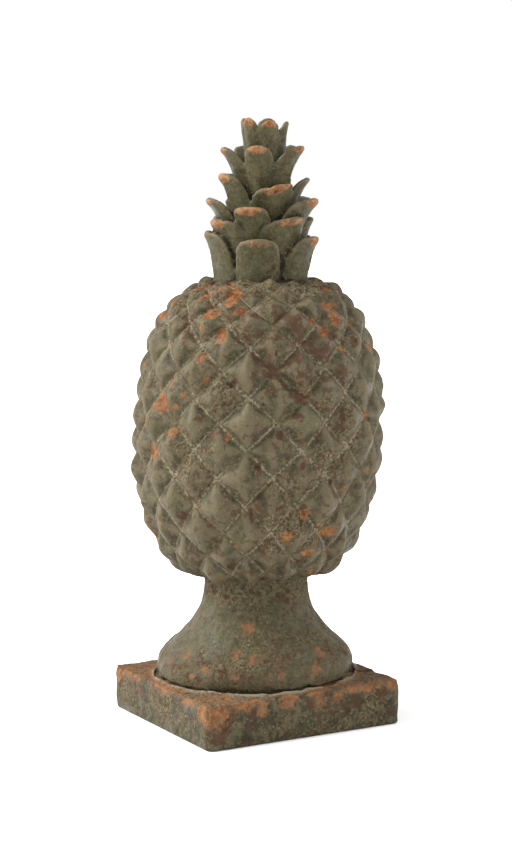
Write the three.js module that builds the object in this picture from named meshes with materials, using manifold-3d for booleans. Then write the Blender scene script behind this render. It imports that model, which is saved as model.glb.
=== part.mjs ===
// A pineapple ornament moulded in clay as one piece: square plinth, waisted round foot, fruit covered
// with raised diamonds, and a crown of broad leaves that curl outwards.
// Millimetres, +Z up, origin at the centre of the plinth's underside.

import * as THREE from 'three';
import { mergeVertices } from 'three/addons/utils/BufferGeometryUtils.js';
import Module from 'manifold-3d';

const wasm = await Module();
wasm.setup();

// Square plinth
const plinthSide = 118.8;
const plinthHeight = 24.7;
const plinthCornerRadius = 4.5;
const plinthEdgeRadius = 2;

// Waisted foot, with a roll at its base that tucks into a groove round the plinth's top
const footHeight = 51;
const neckRadius = 28.6;
const rollRadius = 54.6;
const rollHeight = 5.4;
const rollShoulder = 11.5;
const rollUndercut = 0.8;
const grooveRadius = 50.4;
const grooveGape = 0.5;
const shoulderInset = 4.8;
const shoulderBulge = 2.2;
const shoulderEase = 1.5;

// How far the control points of the foot's curves stand, as shares of what each curve spans
const rollPull = 0.4;
const shoulderPull = 0.7;
const hollowPullInward = 0.44;
const hollowPullUpward = 0.24;
const neckPull = 0.5;

// Fruit, measured to the tips of its diamonds
const fruitRadius = 71.6;
const fruitLength = 167.8;
const bellyHeight = 84;
const poleMargin = 2.8;
const shoulderFullness = 0.26;
const undersideFullness = 0.31;

// Raised diamonds. The first and last crossings of the grooves lie at the crown's foot and the neck,
// at these distances along the skin from the poles. Each diamond rises steeply out of its groove to a
// shoulder, and from there gently to its tip.
const diamondsAround = 14;
const diamondRows = 14;
const diamondHeight = 7;
const grooveShare = 0.1;
const shoulderShare = 0.18;
const topSkinMargin = 25;
const bottomSkinMargin = 31;
const rowCrowding = 1.217;
const reliefFalloff = 0.6;
const firstDiamondTurn = -6;

// Crown, from the top of the fruit. Its tiers run from the lowest to the highest. A tier has the radius
// and height of its leaves' outer faces at the root and at the tip, as shares of the crown's. A leaf has
// the way it points in degrees from the front, how much its tip is raised as a share of the crown's
// height, the tilt of its tip in degrees, and its width as a share of its tier's.
const crownHeight = 85.5;
const crownRadius = 31.6;
const crownTiers = [
  {
    root: [0.775, 0],
    tip: [1, 0.251],
    leaves: [[-6, -0.021, 0, 0.8], [72, -0.013, 0, 1], [138, 0, 0, 1], [208, 0, 0, 1], [278, 0.026, 0, 1]],
  },
  {
    root: [0.649, 0.105],
    tip: [0.934, 0.374],
    leaves: [[33, -0.015, 5, 1], [114, -0.016, 0, 1], [178, 0, 0, 1], [236, 0, 0, 1], [296, -0.021, 0, 1.05]],
  },
  {
    root: [0.617, 0.246],
    tip: [0.981, 0.485],
    leaves: [[-16, -0.058, 0, 0.76], [68, -0.016, 0, 1], [135, 0, 0, 1], [204, 0, 0, 1], [272, 0, 0, 1]],
  },
  {
    root: [0.506, 0.374],
    tip: [0.807, 0.637],
    leaves: [[19, -0.076, 12, 1.1], [92, -0.028, 0, 0.9], [161, 0, 0, 1], [231, 0, 0, 1], [292, 0, 0, 1]],
  },
  {
    root: [0.396, 0.538],
    tip: [0.76, 0.813],
    leaves: [[-10, -0.004, 0, 0.84], [62, -0.008, 0, 1], [138, 0, 0, 1], [210, 0, 0, 1], [276, -0.006, 0, 1]],
  },
  {
    root: [0.332, 0.678],
    tip: [0.443, 1],
    leaves: [[15, -0.018, 0, 1], [92, -0.023, 0, 0.9], [170, 0, 0, 1], [245, 0, 0, 1], [312, 0, 0, 0.9]],
  },
];

// A leaf's width as a share of the way round its tier, its thickness, and the shape of its outline: it
// is widest at one share of its length, and rounds off towards the tip
const leafSpread = 0.168;
const leafRootThickness = 8.5;
const leafTipThickness = 3.6;
const leafBendOut = 0.22;
const leafBendUp = 0.78;
const leafWidestShare = 0.35;
const leafRoundingShare = 0.68;
const leafBluntness = 4.5;

// What the leaves grow from, down inside the fruit and up to just below the highest tips
const crownSink = 6;
const coreInset = 4.5;
const coreTopRadius = 9;
const coreTopHeight = 80.6;

// The side that faces forward, and the slight lean of everything above the plinth
const frontDirection = -118;
const leanAngle = 1.95;
const leanDirection = -28;

// Fineness of the faceted surfaces
const footSegments = 44;
const coreSegments = 20;
const roundingSteps = 3;
const arcSteps = 5;
const leafSteps = 5;
const leafSides = 8;
const tipCrowding = 1.8;
const outlineDivisions = 800;

// How deep joined pieces stand in each other, and how near points are that count as one
const sinkDepth = 3;
const mergeDistance = 1e-4;

// A closed geometry as a solid: its shared points are merged and its collapsed triangles dropped
function solidOf(geometry) {
  const bare = geometry.clone();
  bare.deleteAttribute('normal');
  bare.deleteAttribute('uv');
  const merged = mergeVertices(bare, mergeDistance);
  const corners = merged.index.array;
  const triangles = [];
  for (let i = 0; i < corners.length; i += 3) {
    const [a, b, c] = [corners[i], corners[i + 1], corners[i + 2]];
    if (a !== b && b !== c && c !== a) triangles.push(a, b, c);
  }
  return new wasm.Manifold(new wasm.Mesh({
    numProp: 3,
    vertProperties: new Float32Array(merged.attributes.position.array),
    triVerts: new Uint32Array(triangles),
  }));
}

function geometryOf(points, triangles) {
  const geometry = new THREE.BufferGeometry();
  geometry.setAttribute('position', new THREE.Float32BufferAttribute(points, 3));
  geometry.setIndex(triangles);
  return geometry;
}

// A shape turned about the Z axis
function turned(outline, segments) {
  return new THREE.LatheGeometry(outline, segments).rotateX(Math.PI / 2);
}

function plinth() {
  const half = plinthSide / 2 - plinthEdgeRadius;
  const corner = plinthCornerRadius;
  const outline = new THREE.Shape();
  outline.absarc(half - corner, half - corner, corner, 0, Math.PI / 2);
  outline.absarc(corner - half, half - corner, corner, Math.PI / 2, Math.PI);
  outline.absarc(corner - half, corner - half, corner, Math.PI, 1.5 * Math.PI);
  outline.absarc(half - corner, corner - half, corner, 1.5 * Math.PI, 2 * Math.PI);
  const block = new THREE.ExtrudeGeometry(outline, {
    depth: plinthHeight - 2 * plinthEdgeRadius,
    bevelThickness: plinthEdgeRadius,
    bevelSize: plinthEdgeRadius,
    bevelSegments: roundingSteps,
    curveSegments: roundingSteps,
  });
  return block.translate(0, 0, plinthEdgeRadius);
}

// The foot stands with its base at height 0: groove, roll, hollow curve up to the neck
function foot() {
  const outline = new THREE.Path();
  outline.moveTo(0, -sinkDepth);
  outline.lineTo(grooveRadius, -sinkDepth);
  outline.lineTo(grooveRadius, 0);
  outline.bezierCurveTo(
    rollRadius - rollUndercut, grooveGape,
    rollRadius, rollHeight * rollPull,
    rollRadius, rollHeight,
  );
  const shoulderRadius = rollRadius - shoulderInset;
  const shoulderHeight = rollHeight + rollShoulder;
  outline.bezierCurveTo(
    rollRadius, rollHeight + rollPull * rollShoulder,
    shoulderRadius + shoulderBulge, rollHeight + shoulderPull * rollShoulder,
    shoulderRadius, shoulderHeight - shoulderEase,
  );
  const inward = shoulderRadius - neckRadius;
  const upward = footHeight - shoulderHeight;
  outline.bezierCurveTo(
    shoulderRadius - hollowPullInward * inward, shoulderHeight + hollowPullUpward * upward,
    neckRadius, footHeight - neckPull * upward,
    neckRadius, footHeight,
  );
  outline.lineTo(neckRadius, footHeight + 2 * sinkDepth);
  outline.lineTo(0, footHeight + 2 * sinkDepth);
  return turned(outline.getPoints(arcSteps), footSegments);
}

// Half outline of the fruit from its lower to its upper pole, as radius and height above its bottom
class FruitOutline extends THREE.Curve {
  getPoint(t, target = new THREE.Vector2()) {
    const angle = (t - 0.5) * Math.PI;
    const above = angle > 0;
    const reach = poleMargin + (above ? fruitLength - bellyHeight : bellyHeight);
    const fullness = above ? shoulderFullness : undersideFullness;
    const radius = fruitRadius * Math.max(Math.cos(angle), 0) ** (2 * fullness);
    return target.set(radius, bellyHeight + reach * Math.sin(angle));
  }
}

// A grid over the skin of the fruit. Level 0 is the top ring of crossings, and the diamonds of row 1
// have their tips on level 1. Depth is measured down from the tips, as a share of a diamond's height.
class FruitGrid {
  constructor() {
    this.outline = new FruitOutline();
    this.outline.arcLengthDivisions = outlineDivisions;
    this.length = this.outline.getLength();
    this.levels = diamondRows + 1;
    this.phase = THREE.MathUtils.degToRad(frontDirection + firstDiamondTurn);
  }

  point(level, step, depthShare) {
    const span = this.length - topSkinMargin - bottomSkinMargin;
    const fromTop = topSkinMargin + span * (level / this.levels) ** rowCrowding;
    const share = 1 - fromTop / this.length;
    const at = this.outline.getPointAt(share);
    const along = this.outline.getTangentAt(share);
    const depth = depthShare * diamondHeight * (at.x / fruitRadius) ** reliefFalloff;
    const radius = at.x - depth * along.y;
    const angle = this.phase + (step * Math.PI) / diamondsAround;
    return [radius * Math.cos(angle), radius * Math.sin(angle), at.y + depth * along.x];
  }
}

// The fruit: crossings of the grooves stand at every other step of each level, staggered, and each
// diamond between four of them is a ring of steep faces round four gentle ones
function fruit() {
  const grid = new FruitGrid();
  const across = 2 * diamondsAround;
  const points = [];
  const triangles = [];
  const crossings = new Map();
  function addPoint(level, step, depthShare) {
    points.push(...grid.point(level, step, depthShare));
    return points.length / 3 - 1;
  }
  function crossing(level, step) {
    const place = (step + across) % across;
    const key = level * across + place;
    if (!crossings.has(key)) crossings.set(key, addPoint(level, place, 1));
    return crossings.get(key);
  }
  const inset = 1 - grooveShare;
  const around = [[-1, 0], [0, -1], [1, 0], [0, 1]];
  for (let level = 1; level < grid.levels; level += 1) {
    for (let step = level % 2; step < across; step += 2) {
      const tip = addPoint(level, step, 0);
      const outer = around.map(([down, aside]) => crossing(level + down, step + aside));
      const inner = around.map(([down, aside]) => (
        addPoint(level + down * inset, step + aside * inset, 1 - shoulderShare)
      ));
      for (let corner = 0; corner < 4; corner += 1) {
        const next = (corner + 1) % 4;
        triangles.push(tip, inner[corner], inner[next]);
        triangles.push(inner[corner], outer[corner], outer[next]);
        triangles.push(inner[corner], outer[next], inner[next]);
      }
    }
  }
  for (const [edge, pole] of [[0, fruitLength], [grid.levels, 0]]) {
    const centre = points.length / 3;
    points.push(0, 0, pole);
    const beside = edge === 0 ? 1 : edge - 1;
    for (let step = beside % 2; step < across; step += 2) {
      const middle = crossing(edge, step);
      const [left, right] = [crossing(beside, step - 1), crossing(beside, step + 1)];
      if (edge === 0) triangles.push(centre, left, middle, centre, middle, right);
      else triangles.push(centre, middle, left, centre, right, middle);
    }
  }
  return geometryOf(points, triangles);
}

// A place on the crown from its shares of the crown's radius and height
function crownPlace([radiusShare, heightShare]) {
  return new THREE.Vector2(radiusShare * crownRadius, heightShare * crownHeight);
}

// One leaf, pointing along +X: sections follow the curve of its outer face, from a broad root to a
// rounded tip that is thinner and bends outwards
function leaf(tier, rise, tilt, breadth) {
  const root = crownPlace(tier.root);
  const tip = crownPlace(tier.tip);
  const width = breadth * leafSpread * Math.PI * (root.x + tip.x);
  const slant = Math.tan(THREE.MathUtils.degToRad(tilt));
  root.y -= crownSink;
  tip.y += rise * crownHeight;
  const bend = new THREE.Vector2(
    THREE.MathUtils.lerp(root.x, tip.x, leafBendOut),
    THREE.MathUtils.lerp(root.y, tip.y, leafBendUp),
  );
  const spine = new THREE.QuadraticBezierCurve(root, bend, tip);
  const points = [];
  const triangles = [];
  for (let step = 0; step <= leafSteps; step += 1) {
    const share = 1 - (1 - step / leafSteps) ** tipCrowding;
    const at = spine.getPoint(share);
    const along = spine.getTangent(share);
    const fromWidest = Math.abs((share - leafWidestShare) / leafRoundingShare);
    const halfWidth = (width / 2) * Math.sqrt(1 - fromWidest ** leafBluntness);
    const thickness = THREE.MathUtils.lerp(leafRootThickness, leafTipThickness, share);
    const wrap = halfWidth ** 2 / (2 * at.x);
    for (let side = 0; side < leafSides; side += 1) {
      const angle = (2 * Math.PI * side) / leafSides;
      const inward = wrap * Math.cos(angle) ** 2 + (thickness * (1 - Math.sin(angle))) / 2;
      const aside = -halfWidth * Math.cos(angle);
      const lifted = slant * share ** 2 * aside;
      points.push(at.x - inward * along.y, aside, at.y + inward * along.x + lifted);
    }
  }
  for (let side = 0; side < leafSides; side += 1) {
    const next = (side + 1) % leafSides;
    for (let step = 0; step < leafSteps; step += 1) {
      const [a, b] = [step * leafSides + side, step * leafSides + next];
      triangles.push(a, b, a + leafSides, b, b + leafSides, a + leafSides);
    }
  }
  const tipStart = leafSteps * leafSides;
  for (let side = 1; side < leafSides - 1; side += 1) {
    triangles.push(0, side + 1, side);
    triangles.push(tipStart, tipStart + side, tipStart + side + 1);
  }
  return geometryOf(points, triangles);
}

function crownCore() {
  const outline = [new THREE.Vector2(0, -crownSink)];
  for (const tier of crownTiers) {
    const place = crownPlace(tier.root);
    outline.push(new THREE.Vector2(place.x - coreInset, place.y - crownSink));
  }
  outline.push(new THREE.Vector2(coreTopRadius, coreTopHeight));
  outline.push(new THREE.Vector2(0, coreTopHeight));
  return turned(outline, coreSegments);
}

// All leaves of the crown, each turned to its place round the core
function crownLeaves() {
  return crownTiers.flatMap((tier) => tier.leaves.map(([turn, rise, tilt, breadth]) => (
    leaf(tier, rise, tilt, breadth).rotateZ(THREE.MathUtils.degToRad(frontDirection + turn))
  )));
}

// Moves what stands on the plinth up to its top, leaning by the same angle from there
function placedOnPlinth(geometry) {
  const slope = Math.tan(THREE.MathUtils.degToRad(leanAngle));
  const direction = THREE.MathUtils.degToRad(leanDirection);
  const lean = new THREE.Matrix4().makeShear(
    0, 0, 0, 0,
    slope * Math.cos(direction), slope * Math.sin(direction),
  );
  return geometry.applyMatrix4(lean).translate(0, 0, plinthHeight);
}

// The same body with the pockets filled that the leaf roots close off inside the crown
function withoutPockets(body) {
  const shells = body.decompose().filter((shell) => shell.volume() > 0);
  return shells.reduce((joined, shell) => joined.add(shell));
}

function ornament() {
  const upper = [foot(), fruit().translate(0, 0, footHeight)];
  for (const piece of [crownCore(), ...crownLeaves()]) {
    upper.push(piece.translate(0, 0, footHeight + fruitLength));
  }
  let body = solidOf(plinth());
  for (const piece of upper) {
    body = body.add(solidOf(placedOnPlinth(piece)));
  }
  const { vertProperties, triVerts } = withoutPockets(body).getMesh();
  const geometry = geometryOf(Array.from(vertProperties), Array.from(triVerts));
  geometry.computeVertexNormals();
  return geometry;
}

const glaze = new THREE.MeshStandardMaterial({
  color: 0x6b6450,
  roughness: 0.55,
  metalness: 0,
  flatShading: true,
});

const model = new THREE.Group();
const whole = new THREE.Mesh(ornament(), glaze);
whole.name = 'pineapple_ornament';
model.add(whole);

export default model;
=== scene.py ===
"""A pineapple ornament moulded in clay as one piece, with the wear of years outdoors.

A square plinth carries a waisted round foot, a fruit covered with raised diamonds and a crown of
broad leaves. Each is shaped by itself, they are joined into one body, and that body is weathered:
its edges soften, chips and pits break its skin, and dust gathers in its grooves. Lengths are in
metres, in the frame's own axes.
"""

import itertools
import math

import bpy
import numpy as np
from bpy.props import FloatProperty, FloatVectorProperty, IntProperty, PointerProperty
from mathutils import Matrix, Vector


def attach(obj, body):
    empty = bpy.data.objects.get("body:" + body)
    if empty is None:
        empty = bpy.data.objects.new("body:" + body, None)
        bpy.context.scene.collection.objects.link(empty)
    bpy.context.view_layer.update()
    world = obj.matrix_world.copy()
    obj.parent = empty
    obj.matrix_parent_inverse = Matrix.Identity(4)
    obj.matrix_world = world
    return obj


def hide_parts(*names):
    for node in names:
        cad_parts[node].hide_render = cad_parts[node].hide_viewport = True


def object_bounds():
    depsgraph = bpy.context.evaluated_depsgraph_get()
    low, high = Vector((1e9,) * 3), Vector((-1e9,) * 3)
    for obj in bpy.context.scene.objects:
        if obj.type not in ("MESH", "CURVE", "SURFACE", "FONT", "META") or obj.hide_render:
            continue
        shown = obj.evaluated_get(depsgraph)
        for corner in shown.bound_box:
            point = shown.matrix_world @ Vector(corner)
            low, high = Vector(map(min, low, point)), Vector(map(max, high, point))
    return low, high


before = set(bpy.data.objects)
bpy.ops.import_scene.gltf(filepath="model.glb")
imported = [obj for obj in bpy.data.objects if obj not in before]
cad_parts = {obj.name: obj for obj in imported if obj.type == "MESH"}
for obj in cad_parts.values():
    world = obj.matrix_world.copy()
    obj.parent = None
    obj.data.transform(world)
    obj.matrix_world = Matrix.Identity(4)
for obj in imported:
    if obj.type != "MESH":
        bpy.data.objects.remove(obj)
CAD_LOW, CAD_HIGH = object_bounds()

bl_info = {
    "name": "Pineapple ornament",
    "version": (1, 0, 0),
    "blender": (4, 5, 0),
    "location": "3D View > Sidebar > Ornament",
    "description": "A weathered clay pineapple ornament and the studio that it stands in",
    "category": "Add Mesh",
}

NODE = "pineapple_ornament"
FINISH = "weathered_slip_over_clay"

# The frame is 330.3 of these units high, and every length below is a number of them
UNIT = (CAD_HIGH[2] - CAD_LOW[2]) / 330.3

# Which way the front looks, and the slight lean of everything above the plinth, in degrees
FRONT = -118.0
LEAN = 1.95
LEAN_TOWARDS = -28.0

# Shape of the foot's outline, from its roll and the lip round it up to its neck
ROLL_HEIGHT = 5.4 * UNIT
ROLL_SHOULDER = 11.5 * UNIT
ROLL_UNDERCUT = 0.8 * UNIT
GROOVE_GAPE = 0.5 * UNIT
SHOULDER_INSET = 4.8 * UNIT
SHOULDER_BULGE = 2.2 * UNIT
SHOULDER_EASE = 1.5 * UNIT
LIP_RADIUS = 56.3 * UNIT
LIP_WIDTH = 2.2 * UNIT
LIP_HEIGHT = 1.5 * UNIT
FOOT_BOW_IN = 0.44
FOOT_BOW_UP = 0.24
NECK_SHARE = 0.5
SINK = 3 * UNIT

# Shape of the fruit's skin: its outline, its rows, and the form of its diamonds
POLE_MARGIN = 2.8 * UNIT
SHOULDER_FULLNESS = 0.26
UNDERSIDE_FULLNESS = 0.31
TOP_MARGIN = 25 * UNIT
BOTTOM_MARGIN = 31 * UNIT
ROW_CROWDING = 1.217
FIRST_DIAMOND = -6
WORN_RIDGE = 0.32
GROOVE_SHARE = 0.1
SHOULDER_SHARE = 0.15
TIP_UNEVENNESS = 0.3
RIDGE_ASTRAY = 0.34
DEPTH_TAPER = 0.6
POLE_FADE = 4
DIAMOND_SEED = 3

# Crown. A tier, from the lowest to the highest, has the radius and height of its leaves' outer faces at
# the root and at the tip, as shares of the crown's. A leaf has the way it points in degrees from the
# front, how much its tip is raised as a share of the crown's height, the tilt of its tip in degrees, its
# width as a share of its tier's, and how far the slip is worn off its tip, from 0 to 1.
CROWN_HEIGHT = 85.5 * UNIT
CROWN_RADIUS = 31.6 * UNIT
TIERS = (
    (0.775, 0, 1, 0.251, (
        (-6, -0.021, 0, 0.8, 0.45), (72, -0.013, 0, 1, 0.7), (138, 0, 0, 1, 0.9), (208, 0, 0, 1, 0.6),
        (278, 0.026, 0, 1, 0.35),
    )),
    (0.649, 0.105, 0.934, 0.374, (
        (33, -0.015, 5, 1, 0.6), (114, -0.016, 0, 1, 0.6), (178, 0, 0, 1, 1), (236, 0, 0, 1, 0.5),
        (296, -0.021, 0, 1.05, 0.8),
    )),
    (0.617, 0.246, 0.981, 0.485, (
        (-16, -0.058, 0, 0.76, 1), (68, -0.016, 0, 1, 0.8), (135, 0, 0, 1, 0.7), (204, 0, 0, 1, 0.95),
        (272, 0, 0, 1, 0.75),
    )),
    (0.506, 0.374, 0.807, 0.637, (
        (19, -0.076, 12, 1.1, 1.05), (92, -0.028, 0, 0.9, 0.2), (161, 0, 0, 1, 0.8), (231, 0, 0, 1, 0.9),
        (292, 0, 0, 1, 0.95),
    )),
    (0.396, 0.538, 0.76, 0.813, (
        (-10, -0.004, 0, 0.84, 0.9), (62, -0.008, 0, 1, 0.7), (138, 0, 0, 1, 0.8), (210, 0, 0, 1, 0.6),
        (276, -0.006, 0, 1, 0.8),
    )),
    (0.332, 0.678, 0.443, 1, (
        (15, -0.018, 0, 1, 0.95), (92, -0.023, 0, 0.9, 0.6), (170, 0, 0, 1, 0.9), (245, 0, 0, 1, 0.8),
        (312, 0, 0, 0.9, 1),
    )),
)
CROWN_SINK = 6 * UNIT
CORE_INSET = 4.5 * UNIT
CORE_TOP_RADIUS = 9 * UNIT
CORE_TOP_HEIGHT = 80.6 * UNIT

# A leaf: the share of its reach outwards and upwards at which its curve is drawn aside, its keel, the
# rounding of its tip, and its outline, which is widest at one share of its length, narrows over another
# share and is the squarer the higher its power
BEND_OUT = 0.22
BEND_UP = 0.78
LEAF_KEEL = 1.0 * UNIT
LEAF_DOME = 1.2 * UNIT
LEAF_WIDEST = 0.35
LEAF_NARROWING = 0.68
LEAF_SQUARENESS = 4.5

# Studio: its suns by name, degrees from the front, elevation, strength and size in the sky, the floor, and
# the camera by its angles in degrees, its place and its lens
SUNS = (("key", -90, 38, 6.95, 46), ("fill", 85, 35, 1.85, 60))
SKY_STRENGTH = 1.0
FLOOR_REACH = 8.0
FLOOR_TONE = 0.92
CAMERA_TURN = -28.09
CAMERA_PITCH = 6.46
CAMERA_ROLL = -0.9
CAMERA_DISTANCE = 1158.9 * UNIT
CAMERA_ASIDE = 3.14 * UNIT
CAMERA_HEIGHT = 162.9 * UNIT
SENSOR = 36
LENS = SENSOR * 2104 / 850


def measure(name, description, units):
    """A size that can be changed. Its default is given in the frame's units."""
    return FloatProperty(name=name, description=description, default=units * UNIT, unit="LENGTH")


def tint(name, description, colour):
    """A colour that can be changed."""
    return FloatVectorProperty(name=name, description=description, default=colour, subtype="COLOR")


class BodySizes(bpy.types.PropertyGroup):
    """Main sizes of the ornament's body"""

    plinth_side: measure("Plinth side", "Side of the square plinth", 118.8)
    plinth_height: measure("Plinth height", "Height of the plinth", 24.7)
    plinth_edge: measure("Plinth edge", "Rounding of the plinth's level edges", 2.1)
    plinth_corner: measure("Plinth corner", "Rounding of the plinth's upright edges", 4.6)
    foot_height: measure("Foot height", "Plinth's top to the fruit", 51)
    neck_radius: measure("Neck radius", "Radius of the foot's neck", 28.6)
    roll_radius: measure("Roll radius", "Radius of the roll at the base", 54.6)
    groove_radius: measure("Groove radius", "Radius of the groove below the roll", 50.4)
    fruit_radius: measure("Fruit radius", "Radius to the tips of the diamonds", 71.6)
    fruit_length: measure("Fruit length", "Length from the neck to the crown", 167.8)
    belly_height: measure("Belly height", "Height of the widest place above the neck", 84)
    diamonds_around: IntProperty(
        name="Diamonds around", description="Diamonds in one row", default=14, min=6,
    )
    diamond_rows: IntProperty(
        name="Diamond rows", description="Rows of diamonds, each staggered", default=14, min=4,
    )
    diamond_height: measure("Diamond height", "Height of a tip above its grooves", 7)
    leaf_spread: FloatProperty(
        name="Leaf spread", description="Width of a leaf, as a share of the way round its tier",
        default=0.168,
    )
    leaf_root_thickness: measure("Leaf root thickness", "Thickness at the root", 8.5)
    leaf_tip_thickness: measure("Leaf tip thickness", "Thickness at the tip", 3.6)


class Wear(bpy.types.PropertyGroup):
    """How far the body is worn, and its colours"""

    unevenness: measure("Unevenness", "How far the hand-pressed skin wanders", 0.8)
    drift: measure("Drift", "How far the diamonds are out of line", 1.3)
    grain: measure("Grain", "Height of the grit in dusty places", 0.42)
    chips: IntProperty(name="Chips", description="Chips broken out of the edges", default=60, min=0)
    pits: IntProperty(name="Pits", description="Small round pits in the skin", default=150, min=0)
    seed: IntProperty(name="Seed", description="Another seed wears another piece", default=7)
    slip_light: tint("Light slip", "Sage slip where it is clean and thick", (0.055, 0.051, 0.023))
    slip_dark: tint("Dark slip", "Olive-brown slip", (0.026, 0.0222, 0.0096))
    slip_green: tint("Green slip", "Olive slip where it pooled", (0.034, 0.0375, 0.013))
    slip_warm: tint("Warm slip", "Brownish slip, so thin that clay tints it", (0.055, 0.033, 0.016))
    dust: tint("Dust", "Pale grit in grooves", (0.110, 0.089, 0.050))
    dust_pale: tint("Pale dust", "Dry dust in lines and specks", (0.184, 0.160, 0.112))
    clay: tint("Bare clay", "Fired clay where the slip is worn off", (0.185, 0.076, 0.022))
    clay_pale: tint("Dusty clay", "Bare clay with dust rubbed into it", (0.140, 0.080, 0.041))
    clay_dark: tint("Dark clay", "Bare clay with dirt in its pores", (0.070, 0.027, 0.011))
    stain: tint("Stain", "Red-brown stain", (0.046, 0.018, 0.0075))


class Wire:
    """An output socket. Arithmetic on it adds Math nodes to its tree."""

    def __init__(self, web, socket):
        self.web = web
        self.socket = socket

    def __add__(self, other):
        return self.web.math("ADD", self, other)

    def __radd__(self, other):
        return self.web.math("ADD", other, self)

    def __sub__(self, other):
        return self.web.math("SUBTRACT", self, other)

    def __rsub__(self, other):
        return self.web.math("SUBTRACT", other, self)

    def __mul__(self, other):
        return self.web.math("MULTIPLY", self, other)

    def __rmul__(self, other):
        return self.web.math("MULTIPLY", other, self)

    def __truediv__(self, other):
        return self.web.math("DIVIDE", self, other)

    def __pow__(self, other):
        return self.web.math("POWER", self, other)

    def __abs__(self):
        return self.web.math("ABSOLUTE", self)

    def above(self, low, high):
        """0 up to low, 1 from high, and a soft step between."""
        return self.web.add("ShaderNodeMapRange", {"interpolation_type": "SMOOTHSTEP"},
                            {0: self, 1: low, 2: high, 3: 0.0, 4: 1.0})


class Web:
    """A tree of nodes that is being built."""

    def __init__(self, tree):
        self.tree = tree

    def make(self, kind, settings=None, inputs=None):
        """Adds a node: its settings first, then its sockets."""
        node = self.tree.nodes.new(kind)
        for name, value in (settings or {}).items():
            setattr(node, name, value)
        for name, value in (inputs or {}).items():
            if isinstance(value, Wire):
                self.tree.links.new(value.socket, node.inputs[name])
            else:
                node.inputs[name].default_value = value
        return node

    def add(self, kind, settings=None, inputs=None, output=0):
        return Wire(self, self.make(kind, settings, inputs).outputs[output])

    def math(self, operation, *values):
        return self.add("ShaderNodeMath", {"operation": operation}, dict(enumerate(values)))

    def mix_colour(self, share, first, second):
        return self.add("ShaderNodeMix", {"data_type": "RGBA"}, {0: share, 6: first, 7: second}, 2)

    def parts(self, vector):
        """The three parts of a vector."""
        node = self.make("ShaderNodeSeparateXYZ", {}, {"Vector": vector})
        return [Wire(self, output) for output in node.outputs]

    def attribute(self, name):
        return self.add("ShaderNodeAttribute", {"attribute_name": name}, output=2)

    def noise(self, place, size, detail=3.0, roughness=0.55, distortion=0.0):
        """Cloudy values round 0.5 whose patches are about the given size across."""
        return self.add(
            "ShaderNodeTexNoise", {},
            {"Vector": place, "Scale": 1 / size, "Detail": detail, "Roughness": roughness,
             "Distortion": distortion},
        )


class Recipe(Web):
    """A Geometry Nodes tree with named inputs, and the values that one use of it gives them."""

    SOCKETS = {float: "NodeSocketFloat", int: "NodeSocketInt", bpy.types.Material: "NodeSocketMaterial",
               bpy.types.Object: "NodeSocketObject"}

    def __init__(self, name):
        super().__init__(bpy.data.node_groups.new(name, "GeometryNodeTree"))
        self.tree.interface.new_socket("Geometry", in_out="INPUT", socket_type="NodeSocketGeometry")
        self.tree.interface.new_socket("Geometry", in_out="OUTPUT", socket_type="NodeSocketGeometry")
        self.entry = self.tree.nodes.new("NodeGroupInput")
        self.values = {}

    def ask(self, name, value):
        """A named input of the tree, with the value that it gets."""
        kind = self.SOCKETS[type(value)]
        socket = self.tree.interface.new_socket(name, in_out="INPUT", socket_type=kind)
        self.values[socket.identifier] = value
        return Wire(self, self.entry.outputs[name])

    def start(self):
        return Wire(self, self.entry.outputs["Geometry"])

    def finish(self, geometry, material):
        """Ends the tree: instances become real, and the material goes on."""
        real = self.add("GeometryNodeRealizeInstances", {}, {"Geometry": geometry})
        dressed = self.add("GeometryNodeSetMaterial", {}, {"Geometry": real, "Material": material})
        self.make("NodeGroupOutput", {}, {"Geometry": dressed})

    def grow(self, name, net):
        """Runs the tree on a net of points and returns a plain object."""
        carrier = new_object(name + "_net", net)
        modifier = carrier.modifiers.new(name, "NODES")
        modifier.node_group = self.tree
        for identifier, value in self.values.items():
            modifier[identifier] = value
        return baked(carrier, name)


def new_object(name, mesh):
    piece = bpy.data.objects.new(name, mesh)
    bpy.context.scene.collection.objects.link(piece)
    return piece


def new_mesh(name, points, faces):
    mesh = bpy.data.meshes.new(name)
    mesh.from_pydata([tuple(point) for point in points], [], [tuple(face) for face in faces])
    mesh.update()
    return mesh


def discard(piece):
    mesh = piece.data
    bpy.data.objects.remove(piece)
    bpy.data.meshes.remove(mesh)


def baked(piece, name):
    """The piece with its modifiers applied, as a new plain object in place of the old one."""
    bpy.context.view_layer.update()
    graph = bpy.context.evaluated_depsgraph_get()
    mesh = bpy.data.meshes.new_from_object(piece.evaluated_get(graph), depsgraph=graph)
    discard(piece)
    mesh.name = name
    return new_object(name, mesh)


def points_of(mesh):
    values = np.empty(3 * len(mesh.vertices), np.float32)
    mesh.vertices.foreach_get("co", values)
    return values.reshape(-1, 3).astype(float)


def set_points(mesh, points):
    mesh.vertices.foreach_set("co", points.astype(np.float32).ravel())
    mesh.update()


def wound_rings(rows, columns, first=0):
    """Quads between rings of points, each ring closed on itself."""
    faces = []
    for row, column in itertools.product(range(rows - 1), range(columns)):
        beside = (column + 1) % columns
        below, over = first + row * columns, first + (row + 1) * columns
        faces.append((below + column, below + beside, over + beside, over + column))
    return faces


def lathe(outline, columns):
    """A closed mesh from (radius, height) pairs that start and end on the axis."""
    points = [(0, 0, outline[0][1])]
    for radius, height in outline[1:-1]:
        for column in range(columns):
            angle = 2 * math.pi * column / columns
            points.append((radius * math.cos(angle), radius * math.sin(angle), height))
    points.append((0, 0, outline[-1][1]))
    rows = len(outline) - 2
    last = len(points) - 1
    faces = wound_rings(rows, columns, 1)
    for column in range(columns):
        beside = (column + 1) % columns
        faces.append((0, 1 + beside, 1 + column))
        faces.append((last, last - columns + column, last - columns + beside))
    return points, faces


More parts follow.
